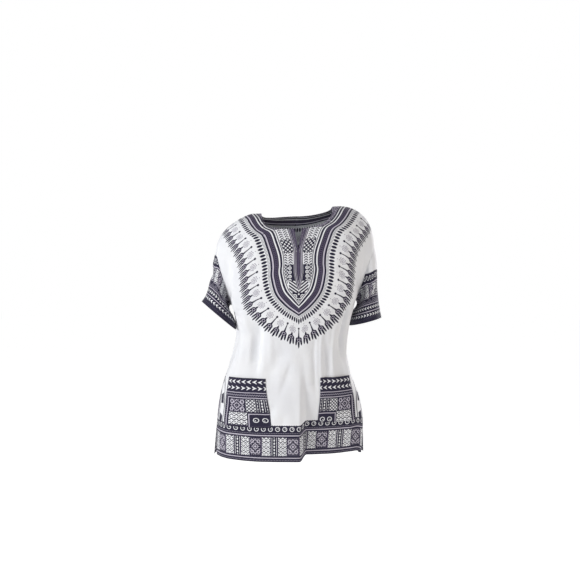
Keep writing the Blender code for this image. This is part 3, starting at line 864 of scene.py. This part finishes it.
def yoke_layers(tree, inks, with_shield):
    """The neck print: a lined shield, a ring of teeth, rosettes on stems and three-pronged buds."""
    along, out = read_map(tree, "Ring", MM)
    across, down = read_map(tree, "Cut", MM)
    bud = along.wrapped(BUD_PITCH)
    stem = along.wrapped(2 * BUD_PITCH)
    between = (along + BUD_PITCH).wrapped(2 * BUD_PITCH)
    height = out - 79.0
    tip = oval(bud, height, 2.4, 14.0) * 1.8
    sides = oval(abs(bud) - 6.2 - height * 0.07, height + 2.5, 2.3, 12.0) * 1.8
    cup = both(oval(bud, height + 8.5, 8.2, 8.0), height + 5.0 - abs(bud) * 0.45)
    bud_shape = either(tip, sides, cup, oval(bud, height + 17.0, 2.6, 6.0))
    stem_width = (out - 36.0) * 0.045 + 1.0
    stems = either(both(abs(stem) - stem_width, band(out, 37.0, 64.0)), disc(stem, out - 37.0, 3.4))
    teeth = oval(along.wrapped(TOOTH_PITCH), out - 15.6, 3.8, 7.8)
    specks = both(disc(along.wrapped(4.0), (out - 2.6).wrapped(3.2), 1.15), band(out, 0.8, 7.4))
    petals = between.run("ARCTAN2", out - 47.0) * 8.0
    lobes = petals.run("COSINE") * 1.3
    flower = (between, out - 46.0)
    scallop = abs(disc(*flower, 8.6) - lobes) - 0.85
    rosette = either(scallop, ring(*flower, 4.6, 0.8), disc(*flower, 2.0))
    dots = both(disc(between, (out - 30.5).wrapped(5.0), 1.3), band(out, 28.0, 33.0))
    leaf = abs(oval(bud, height + 9.0, 3.7, 3.6)) - 0.6
    beads = either(
        disc(along.wrapped(5.4), out + 16.6, 2.1), band(out, -14.6, -13.6), band(out, -19.6, -18.6)
    )
    layers = [
        (inks.grey, either(rosette, dots)),
        (inks.navy, either(bud_shape, stems, teeth, specks)),
        (inks.pale, leaf),
        (inks.navy, band(out, -SHIELD, 0.0)),
        (inks.pale, band(out, -9.4, -5.6)),
        (inks.violet, band(out, -20.6, -12.6)),
        (inks.navy, beads),
        (inks.white, either(band(out, -27.2, -23.4), band(out, -35.8, -32.8))),
    ]
    inner = out + SHIELD
    speckle = noise(tree, scale=520.0, detail=2.0) * -40.0
    neck = both(inner, down - SHIELD_ROWS[0]) if with_shield else inner
    layers += [
        (inks.navy, neck),
        (inks.violet, both(inner + 2.4, neck, speckle + 19.6)),
        (inks.pale, both(inner + 2.4, neck, speckle + 22.4)),
    ]
    if with_shield:
        layers += shield_layers(inks, abs(across), down, inner)
    return layers


def shield_layers(inks, beside, down, inner):
    """Inside the shield: a ribbed tongue under the slit, columns of blocks, and a scrolled foot."""
    flare = (outside(down) + 119.0).over(0.0) * 0.30 + 13.0
    taper = ((outside(down) + 241.0) / 52.0).run("ADD", 0.0, clamp=True).power(0.6)
    tongue = beside - flare * taper
    centre = (outside(down) + 110.0).over(0.0) * 0.36 + 30.0
    column = beside - centre
    open_field = both(inner + 1.2, outside(tongue) + 0.6, outside(down) + SHIELD_ROWS[0])
    edges = zip(SHIELD_ROWS, SHIELD_ROWS[1:])
    rows = [both(open_field, band(down, low, high)) for low, high in edges]
    from_stem = abs(column.wrapped(15.0))
    leaves = both(abs((down + from_stem * 0.8).wrapped(7.4)) - 1.8, outside(from_stem) + 1.4)
    chevrons = both(abs((down - abs(column) * 0.75).wrapped(9.0)) - 2.6, outside(abs(column)) + 1.6)
    net = lattice(column, down, 12.0, 3.3)
    curl = (column + 5.0, (down - 2.0).wrapped(12.4))
    curls = either(
        ring(*curl, 4.0, 1.1),
        disc(*curl, 1.6),
        both(lattice(column - 6.5, down, 9.0, 2.7), outside(column) + 1.0),
    )
    rungs = either(*(band(down, at - 0.9, at + 0.9) for at in SHIELD_ROWS[1:-1]))
    foot = both(inner + 1.2, outside(down) + 247.0)
    scroll = (beside - 11.0, down - 258.0)
    scrolls = either(
        ring(*scroll, 5.0, 1.1),
        disc(*scroll, 1.7),
        both(ring(beside - 4.4, down - 268.5, 4.4, 1.0), outside(beside) + 0.5),
        diamond(beside, down - 252.0, 3.0),
        diamond(beside, down - 276.5, 2.6),
        disc(beside - 20.0, down - 252.5, 2.0),
    )
    ribs = both(tongue + 9.0, abs(down.wrapped(3.4)) - 0.75)
    return [
        (inks.navy, both(either(rows[0], rows[2]), leaves)),
        (inks.navy, either(rows[1], rows[3])),
        (inks.white, both(rows[1], net)),
        (inks.white, both(rows[3], curls)),
        (inks.navy, both(rows[4], chevrons)),
        (inks.navy, either(both(open_field, rungs), foot)),
        (inks.white, both(foot, scrolls)),
        (inks.navy, both(tongue, inner)),
        (inks.pale, either(band(tongue, -4.1, -2.3), band(tongue, -7.6, -6.7))),
        (inks.violet, tongue + 9.6),
        (inks.navy, ribs),
    ]


def block_row(inks, x, y, low, high):
    """The border's row of blocks: net, beads, net, scrollwork, repeated along x."""
    period = 109.0
    at = x.run("WRAP", period, 0.0)
    level = y - (low + high) / 2
    in_row = band(y, low, high)

    def block(left, right):
        return both(in_row, band(at, left, right))

    net = either(block(2.0, 26.0), block(49.0, 73.0))
    beads, scrolls = block(29.0, 46.0), block(76.0, 106.0)
    bead, scroll = at - 37.5, at - 91.0
    string = bead_strings(bead, abs(abs(bead) - 6.6), level, 2.0, 3.2, 0.8, 1.7)
    open_work = filigree(scroll, level, 9.0, 21.0, (9.5, 15.0, 4.2))
    bars = either(*(band(at, k - 0.5, k + 0.5) for k in (0.6, 27.5, 47.5, 74.5, 107.5)))
    return [
        (inks.white, both(net, leafy_net(at - 2.0, level))),
        (inks.white, both(beads, string)),
        (inks.pale, both(scrolls, either(open_work, disc(scroll, level, 3.0)))),
        (inks.violet, both(in_row, bars)),
    ]


def side_layers(inks, across, down):
    """The half ovals with rays that stand on the hem border at the side seams."""
    right_seam, left_seam = SIDE_SEAMS
    half_width, half_height, centre = SIDE_OVAL
    seam = across.run("SIGN") * ((left_seam - right_seam) / 2) + (left_seam + right_seam) / 2
    out = (outside(abs(across)) + seam) / half_width
    height = (down - centre) / half_height
    size = length_of(out, height)

    def round_it(low, high):
        return band(size, low, high) * SIDE_OVAL_SCALE

    spoke = out.run("ARCTAN2", height) * 9.0
    rays = both(spoke.run("COSINE") * 3.0 + 0.4, round_it(1.26, 1.66))
    edge = either(round_it(1.75, 1.85), round_it(1.11, 1.19))
    return [
        (inks.navy, either(rays, edge, (size - 0.98) * SIDE_OVAL_SCALE)),
        (inks.pale, round_it(0.785, 0.855)),
        (inks.violet, (size - 0.60) * SIDE_OVAL_SCALE),
    ]


def hem_layers(tree, inks):
    """The side prints, and over them the hem border: rings, dashes, blocks and dots."""
    across, down = read_map(tree, "Cut", MM)
    up = outside(down) + LENGTH * MM
    return [
        *side_layers(inks, across, down),
        (inks.navy, up - HEM_BAND + abs(across.wrapped(7.0)) * 0.35),
        (inks.white, both(coin_row(across, up - 93.0, 20.6, 5.9), band(up, 84.0, 102.0))),
        (inks.grey, both(band(up, 80.4, 81.6), abs(across.wrapped(5.0)) - 1.6)),
        (inks.pale, either(band(up, 73.4, 76.2), band(up, 10.0, 12.4))),
        *block_row(inks, across, up, 17.5, 69.5),
        (inks.grey, disc(across.wrapped(4.4), up - 4.6, 1.1)),
    ]


def sleeve_layers(tree, inks):
    """The sleeve border: rings, blocks, arcs, two rows of arrowheads and a plain dark edge."""
    around, up = read_map(tree, "Cut", MM)
    arc = around.wrapped(34.0)
    arcs = both(
        either(*(abs(disc(arc, up - 49.0, radius)) - 0.7 for radius in (8.0, 12.5, 17.0))),
        band(up, 53.5, 69.5),
    )
    lines = ((115.5, 118.0), (71.2, 72.8), (50.2, 52.0), (29.2, 31.2))
    return [
        (inks.navy, up - SLEEVE_BAND + abs(around.wrapped(7.0)) * 0.4),
        (inks.white, both(coin_row(around, up - 133.0, 21.0, 6.4), band(up, 122.0, 145.0))),
        (inks.pale, either(*(band(up, low, high) for low, high in lines))),
        (inks.grey, arcs),
        (inks.white, arrowheads(around, up - 41.0, 13.4, 4.9, 1.0)),
        (inks.white, arrowheads(around, up - 20.5, 13.4, 4.9, -1.0)),
        *block_row(inks, around, up, 75.0, 112.5),
    ]


def pocket_layers(tree, inks):
    """The pocket: two rows of arrowheads, a zigzag, framed blocks and a stepped corner."""
    out, down = read_map(tree, "Cut", MM)
    frame_out = outside(out) + 104.5
    row_one, row_two = band(down, 62.0, 98.0), band(down, 101.0, 136.0)
    beads = both(row_one, band(out, 3.0, 27.0))
    rails = abs((out - 9.0).wrapped(12.0))
    string = bead_strings((out - 15.0).wrapped(12.0), rails, down, 1.9, 3.3, 0.7, 1.6)
    net = both(row_one, band(out, 30.0, 55.0), lattice(out, down, 9.4, 3.1))
    work = both(row_one, band(out, 58.0, 98.0), outside(frame_out) + 4.0)
    open_work = filigree(out - 78.0, down - 80.0, 8.0, 17.0, (14.0, 11.0, 4.4))
    low_net = both(row_two, band(out, 53.0, 98.0), leafy_net(out, down))
    step = either(
        both(band(down, 103.4, 105.6), out - 50.0),
        both(band(out, 47.6, 49.8), outside(down) + 103.4),
    )
    corner = both(out - 46.0, outside(down) + 108.0)
    frame_lines = either(
        both(abs(frame_out) - 1.1, outside(down) + 57.0),
        both(band(down, 56.6, 58.8), out - 105.0),
        band(down, 41.8, 43.8),
    )
    everywhere = down * 0.0 - 1.0
    return [
        (inks.navy, everywhere),
        (inks.white, arrowheads(out, down - 11.5, 14.8, 5.8, 1.0)),
        (inks.white, arrowheads(out, down - 29.5, 14.8, 5.8, -1.0)),
        (inks.grey, both(zigzag(out, down - 50.2, 6.0, 0.9), band(down, 45.5, 55.0))),
        (inks.pale, frame_lines),
        (inks.white, either(both(beads, string), net, low_net)),
        (inks.pale, both(work, open_work)),
        (inks.pale, step),
        (inks.white, both(corner, coin_row(out - 12.0, down - 122.0, 20.6, 5.9))),
        (inks.grey, disc(down.wrapped(6.0), out - 109.0, 1.1)),
    ]


def new_material(name):
    """An untouched material, with its node tree and its shader."""
    material = bpy.data.materials.new(name)
    material.use_nodes = True
    return material, material.node_tree, material.node_tree.nodes["Principled BSDF"]


def cotton(name, inks, finish, layers_of=None):
    """Printed cotton: its ink or its plain ground, a slight mottle, its weave and its nap."""
    material, tree, shader = new_material(name)
    layers = layers_of(tree, inks) if layers_of else []
    printed = paint(tree, inks.white, layers, finish.edge_softness)
    ramp = tree.nodes.new("ShaderNodeValToRGB")
    low, high = ramp.color_ramp.elements
    low.position, low.color = 0.30, (0.86, 0.87, 0.92, 1.0)
    high.position, high.color = 0.66, (1.0, 1.0, 1.0, 1.0)
    tree.links.new(noise(tree, scale=14.0, detail=4.0).socket, ramp.inputs[0])
    mottled = mixed(tree, finish.mottle, printed, ramp.outputs[0], "MULTIPLY")
    tree.links.new(mottled, shader.inputs["Base Color"])
    warp, weft = read_map(tree, "Cut", 2 * math.pi * MM / finish.thread_pitch)
    weave = warp.run("SINE") * weft.run("SINE") * finish.weave_height
    crumple = noise(tree, scale=55.0, detail=3.0) * finish.crumple_height
    bump = tree.nodes.new("ShaderNodeBump")
    bump.inputs["Strength"].default_value = 1.0
    bump.inputs["Distance"].default_value = 1 / MM
    tree.links.new((weave + crumple).socket, bump.inputs["Height"])
    tree.links.new(bump.outputs["Normal"], shader.inputs["Normal"])
    shader.inputs["Roughness"].default_value = finish.roughness
    shader.inputs["Sheen Weight"].default_value = finish.sheen
    shader.inputs["Sheen Roughness"].default_value = 0.5
    shader.inputs["Specular IOR Level"].default_value = 0.25
    return material


def plain_material(name, colour, roughness):
    """One even colour with a faint mottle, for thread and for the stage."""
    material, tree, shader = new_material(name)
    darker = tuple(0.9 * c for c in colour[:3]) + (1.0,)
    mottled = mixed(tree, noise(tree, scale=40.0, detail=2.0).socket, colour, darker)
    tree.links.new(mottled, shader.inputs["Base Color"])
    shader.inputs["Roughness"].default_value = roughness
    return material


def seen_only(tree, lit, seen, socket):
    """Gives a socket one strength where it lights things and another where the camera sees it."""
    path = tree.nodes.new("ShaderNodeLightPath")
    strength = tree.nodes.new("ShaderNodeMix")
    strength.inputs[2].default_value = lit
    strength.inputs[3].default_value = seen
    tree.links.new(path.outputs["Is Camera Ray"], strength.inputs[0])
    tree.links.new(strength.outputs[0], socket)


def colour_property(name, description, default):
    return bpy.props.FloatVectorProperty(
        name=name, description=description, default=default, size=4, min=0, max=1, subtype="COLOR"
    )


def amount_property(name, description, default, unit="NONE", subtype="NONE"):
    return bpy.props.FloatProperty(
        name=name, description=description, default=default, unit=unit, subtype=subtype
    )


def length_property(name, description, default):
    return amount_property(name, description, default, unit="LENGTH")


def share_property(name, description, default):
    return amount_property(name, description, default, subtype="FACTOR")


class DashikiInks(bpy.types.PropertyGroup):
    """The print's colours"""

    white: colour_property("Cotton", "The cloth's own colour", (0.82, 0.835, 0.865, 1.0))
    navy: colour_property("Navy", "The darkest ink", (0.020, 0.018, 0.042, 1.0))
    violet: colour_property("Violet", "The bands' middle tone", (0.130, 0.105, 0.175, 1.0))
    pale: colour_property("Pale", "The light lines on the ink", (0.560, 0.530, 0.620, 1.0))
    grey: colour_property("Grey", "The fine grey drawing", (0.300, 0.285, 0.350, 1.0))


class DashikiCloth(bpy.types.PropertyGroup):
    """The cotton's sizes and finish"""

    thickness: length_property("Thickness", "Thickness of the cotton", 0.0007)
    thread_pitch: amount_property("Thread pitch", "Millimetres to the next thread but one", 0.9)
    weave_height: amount_property("Weave height", "Height of the weave, in millimetres", 0.035)
    crumple_height: amount_property("Crumple height", "Height of fine crumple, in millimetres", 1.1)
    mottle: share_property("Mottle", "How far the cloth's tone varies", 0.35)
    roughness: share_property("Roughness", "How matt the cotton is", 0.82)
    sheen: share_property("Nap", "Strength of the nap's sheen", 0.12)
    edge_softness: amount_property("Ink spread", "Soft edge of the ink, in millimetres", 0.55)


class DashikiSewing(bpy.types.PropertyGroup):
    """The topstitching"""

    pitch: length_property("Pitch", "From one stitch to the next", 0.0034)
    length: length_property("Length", "Length of a stitch", 0.0026)
    thread: length_property("Thread", "Thickness of the thread", 0.0005)
    lift: length_property("Lift", "How far the thread lies above the middle of the cloth", 0.0004)
    hem: length_property("Hem", "Depth of the turned hem and cuffs", 0.016)
    edge: length_property("Edge", "From a neck or pocket edge to its stitches", 0.004)


class DashikiStage(bpy.types.PropertyGroup):
    """The floor and the light"""

    floor_level: length_property("Floor level", "Height of the floor", -1.30)
    backdrop: amount_property("Backdrop", "The surround's brightness to the camera", 1.0)
    surround: amount_property("Surround", "Strength of the even light from all round", 0.34)
    floor_glow: amount_property("Floor glow", "How much brighter the camera sees the floor", 0.70)
    key: amount_property("Key light", "Power of the main light, front left", 84.0, unit="POWER")
    fill: amount_property("Fill light", "Power of the warm light, front right", 24.0, unit="POWER")


def as_inks(group):
    return Inks(*(tuple(getattr(group, key)) for key in Inks._fields))


class DASHIKI_OT_body(bpy.types.Operator):
    """Make the printed front and back"""

    bl_idname = "dashiki.body"
    bl_label = "Front and Back"

    def execute(self, context):
        scene = context.scene
        inks, cloth = as_inks(scene.dashiki_inks), scene.dashiki_cloth
        plain = cotton("white_cotton", inks, cloth)
        border = cotton("hem_print", inks, cloth, hem_layers)
        for name, face, rays in (("front", -1, FRONT_RAYS), ("back", 1, BACK_RAYS)):
            neck_layers = partial(yoke_layers, with_shield=name == "front")
            yoke = cotton(f"{name}_neck_print", inks, cloth, neck_layers)
            across, level = panel_places(face)
            points = body(across, level, face)
            side, down = cut_places(across, level, face)
            along, out = ring_places(side, down, rays)
            on_hem = level > LENGTH - HEM_BAND / MM - PRINT_MARGIN
            from_seam = by_side(side, *(np.array(SIDE_SEAMS) / MM)) - np.abs(side)
            on_side = (from_seam < SIDE_PRINT / MM) & (level > SIDE_PRINT_LEVEL)
            zone = np.where(on_hem | on_side, 2, np.where(out < RING_DEPTH, 1, 0))
            maps = {"Cut": np.stack([side, down], axis=-1), "Ring": np.stack([along, out], axis=-1)}
            sheet = cloth_sheet(
                f"{name}_cloth", points, maps, [plain, yoke, border], zone, turned=face < 0
            )
            thicken(sheet, cloth.thickness)
            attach(sheet, "root")
            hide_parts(name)
        return {"FINISHED"}


class DASHIKI_OT_sleeves(bpy.types.Operator):
    """Make the two short wide sleeves with their borders"""

    bl_idname = "dashiki.sleeves"
    bl_label = "Sleeves"

    def execute(self, context):
        scene = context.scene
        inks, cloth = as_inks(scene.dashiki_inks), scene.dashiki_cloth
        plain = cotton("plain_sleeve_cotton", inks, cloth)
        border = cotton("sleeve_print", inks, cloth, sleeve_layers)
        around, rows = SLEEVE_STEPS
        for name, s in SLEEVES.items():
            turns = np.linspace(-0.5, 0.5, around + 1)
            turn, along = np.meshgrid(turns, np.linspace(0, 1, rows + 1))
            points = folded_sleeve(name, turn, along)
            points[:, -1] = points[:, 0]
            up = running_length(points[::-1], 0)[::-1]
            girth = running_length(points[-1], 0)[-1]
            maps = {"Cut": np.stack([turn * girth, up], axis=-1)}
            zone = np.where(up < SLEEVE_BAND / MM + PRINT_MARGIN, 1, 0)
            sheet = cloth_sheet(
                f"{name}_cloth", points, maps, [plain, border], zone, turned=s.side < 0, closed=True
            )
            thicken(sheet, cloth.thickness)
            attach(sheet, "root")
            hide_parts(name)
        return {"FINISHED"}


def pocket_places(name, steps):
    """The points and normals of a pocket's grid, which stands just off the front."""
    p = POCKETS[name]
    share, drop = np.meshgrid(np.linspace(0, 1, steps[0] + 1), np.linspace(0, 1, steps[1] + 1))
    top, bottom = float(row_level(p.top)), float(row_level(p.bottom))
    level = top + (bottom - top) * drop
    lean = smooth((level - LEAN_LEVELS[0]) / (LEAN_LEVELS[1] - LEAN_LEVELS[0]))
    line = p.inner + (p.outer - p.inner) * share
    across = line - LEAN * np.sin(np.pi * line) * lean
    normals = body_normal(across, level, -1)
    stand = SOLID_CLOTH / 2 + SOLID_POCKET / 2 + SEAM_GAP
    gape = p.gape * np.sin(np.pi * share) * (1 - smooth(drop / 0.75))
    points = body(across, level, -1) + normals * (stand + gape)[..., None]
    return points, normals


class DASHIKI_OT_pockets(bpy.types.Operator):
    """Make the two patch pockets"""

    bl_idname = "dashiki.pockets"
    bl_label = "Pockets"

    def execute(self, context):
        scene = context.scene
        inks, cloth = as_inks(scene.dashiki_inks), scene.dashiki_cloth
        printed = cotton("pocket_print", inks, cloth, pocket_layers)
        for name, p in POCKETS.items():
            points, _ = pocket_places(name, POCKET_STEPS)
            sideways = running_length(points, 1)
            sideways = sideways * (POCKET_PRINT / MM) / sideways[:, -1:]
            maps = {"Cut": np.stack([sideways, running_length(points, 0)], axis=-1)}
            zone = np.zeros(points.shape[:2])
            sheet = cloth_sheet(f"{name}_cloth", points, maps, [printed], zone, turned=p.inner > 0)
            thicken(sheet, cloth.thickness)
            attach(sheet, "root")
            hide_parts(name)
        return {"FINISHED"}


class DASHIKI_OT_sewing(bpy.types.Operator):
    """Sew the hem, the cuffs, the neck and the pockets"""

    bl_idname = "dashiki.sewing"
    bl_label = "Sewing"

    def execute(self, context):
        sizes = context.scene.dashiki_sewing
        white = plain_material("white_thread", (0.78, 0.79, 0.82, 1.0), 0.6)
        violet = plain_material("violet_thread", (0.19, 0.17, 0.24, 1.0), 0.6)

        def on_body(across, level, face):
            return body(across, level, face), body_normal(across, level, face)

        edge = np.linspace(-HEM_STITCHES_TO, HEM_STITCHES_TO, 240)
        hem = [on_body(edge, np.full_like(edge, LENGTH - sizes.hem), face) for face in (-1, 1)]
        self.sew("hem_stitches", hem, sizes, violet)
        cuffs = []
        turn = np.linspace(0, 1, 121)
        share = np.full_like(turn, 1 - sizes.hem / SLEEVE_RUN)
        for name, s in SLEEVES.items():
            surface = lambda a, b: folded_sleeve(name, a, b)
            cuffs.append((surface(turn, share), outward(surface, turn, share, s.side)))
        self.sew("cuff_stitches", cuffs, sizes, violet)
        neck = []
        slit_line = SLIT_HALF_WIDTH + SLIT_STAND
        back_start = NECK_STOPS[0] - NECK_HALF_WIDTH
        for face, side, start in ((-1, -1, slit_line), (-1, 1, slit_line), (1, 1, back_start)):
            across = side * np.linspace(start, NECK_HALF_WIDTH - NECK_STOPS[1], 80)
            level = top_level(across, face) + sizes.edge + NECK_FALL * np.abs(across)
            neck.append(on_body(across, level, face))
        share = np.linspace(0, 1, 30)
        level = NECK_FRONT_LEVEL + sizes.edge + (SLIT_LENGTH + 0.001) * share
        for side in (-1, 1):
            across = side * slit_line * (1 - share) + side * SLIT_STAND * share
            neck.append(on_body(across, level, -1))
        self.sew("neck_stitches", neck, sizes, white)
        seams = []
        for name in POCKETS:
            places = pocket_places(name, POCKET_SEAM_STEPS)
            near, far, mouth = POCKET_LINES
            seams += [tuple(grid[:, column] for grid in places) for column in (near, far)]
            seams += [tuple(grid[row] for grid in places) for row in (far, mouth)]
        self.sew("pocket_stitches", seams, sizes, violet)
        return {"FINISHED"}

    def sew(self, name, lines, sizes, thread):
        piece = stitch_rows(name, lines, sizes, thread)
        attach(piece, "root")


class DASHIKI_OT_stage(bpy.types.Operator):
    """Make the floor, the light and the camera"""

    bl_idname = "dashiki.stage"
    bl_label = "Stage"

    def execute(self, context):
        scene, stage = context.scene, context.scene.dashiki_stage
        bm = bmesh.new()
        place = Matrix.Translation((0, 0, stage.floor_level))
        bmesh.ops.create_circle(bm, cap_ends=True, segments=96, radius=FLOOR_RADIUS, matrix=place)
        pale = plain_material("pale_floor", (0.92, 0.92, 0.92, 1.0), 0.9)
        shader = pale.node_tree.nodes["Principled BSDF"]
        shader.inputs["Emission Color"].default_value = (1.0, 1.0, 1.0, 1.0)
        seen_only(pale.node_tree, 0.0, stage.floor_glow, shader.inputs["Emission Strength"])
        floor = as_piece("floor", bm, [pale])
        world = bpy.data.worlds.new("studio")
        world.use_nodes = True
        surround = world.node_tree.nodes["Background"]
        surround.inputs["Color"].default_value = (1.0, 1.0, 1.0, 1.0)
        seen_only(world.node_tree, stage.surround, stage.backdrop, surround.inputs["Strength"])
        scene.world = world
        lights = (
            ("key_light", (-2.8, -1.7, 0.9), stage.key, 0.8, (1.0, 0.99, 0.98)),
            ("fill_light", (2.4, -1.6, 0.2), stage.fill, 1.4, (1.0, 0.90, 0.80)),
            ("back_light", (2.4, 2.2, 0.9), stage.key * 0.7, 1.0, (0.97, 0.98, 1.0)),
        )
        for name, place, power, size, tint in lights:
            light = bpy.data.lights.new(name, "AREA")
            light.energy, light.size, light.color = power, size, tint
            lamp = bpy.data.objects.new(name, light)
            lamp.location = place
            aim = Vector(LIGHTS_AIM) - Vector(place)
            lamp.rotation_euler = aim.to_track_quat("-Z", "Y").to_euler()
            scene.collection.objects.link(lamp)
        lens = bpy.data.cameras.new("camera")
        lens.sensor_width = 36.0
        lens.lens = lens.sensor_width * FOCAL_PIXELS / PHOTO_SIZE
        lens.shift_x = (PHOTO_SIZE / 2 - ORIGIN_PIXEL) / PHOTO_SIZE
        camera = bpy.data.objects.new("camera", lens)
        turn = math.radians(CAMERA_TURN)
        x, y = CAMERA_DISTANCE * math.sin(turn), -CAMERA_DISTANCE * math.cos(turn)
        camera.location = (x, y, CAMERA_HEIGHT)
        camera.rotation_euler = (math.radians(90), 0, turn)
        scene.collection.objects.link(camera)
        scene.camera = camera
        scene.view_settings.view_transform = "Standard"
        return {"FINISHED"}


class DASHIKI_PT_panel(bpy.types.Panel):
    """The shirt's sizes, colours and pieces"""

    bl_idname = "DASHIKI_PT_panel"
    bl_label = "Dashiki Shirt"
    bl_space_type = "VIEW_3D"
    bl_region_type = "UI"
    bl_category = "Dashiki"

    def draw(self, context):
        for group in GROUPS:
            box = self.layout.box()
            box.label(text=group.__doc__)
            for key in group.__annotations__:
                box.prop(getattr(context.scene, group_name(group)), key)
        for operator in OPERATORS:
            self.layout.operator(operator.bl_idname)


GROUPS = (DashikiInks, DashikiCloth, DashikiSewing, DashikiStage)
OPERATORS = (
    DASHIKI_OT_stage,
    DASHIKI_OT_body,
    DASHIKI_OT_sleeves,
    DASHIKI_OT_pockets,
    DASHIKI_OT_sewing,
)


def group_name(group):
    return "dashiki_" + group.__name__.removeprefix("Dashiki").lower()


def register():
    for cls in (*GROUPS, *OPERATORS, DASHIKI_PT_panel):
        bpy.utils.register_class(cls)
    for group in GROUPS:
        setattr(bpy.types.Scene, group_name(group), bpy.props.PointerProperty(type=group))


def unregister():
    for group in GROUPS:
        delattr(bpy.types.Scene, group_name(group))
    for cls in reversed((*GROUPS, *OPERATORS, DASHIKI_PT_panel)):
        bpy.utils.unregister_class(cls)


def main():
    register()
    bpy.ops.dashiki.stage()
    bpy.ops.dashiki.body()
    bpy.ops.dashiki.sleeves()
    bpy.ops.dashiki.pockets()
    bpy.ops.dashiki.sewing()


if __name__ == "__main__":
    main()
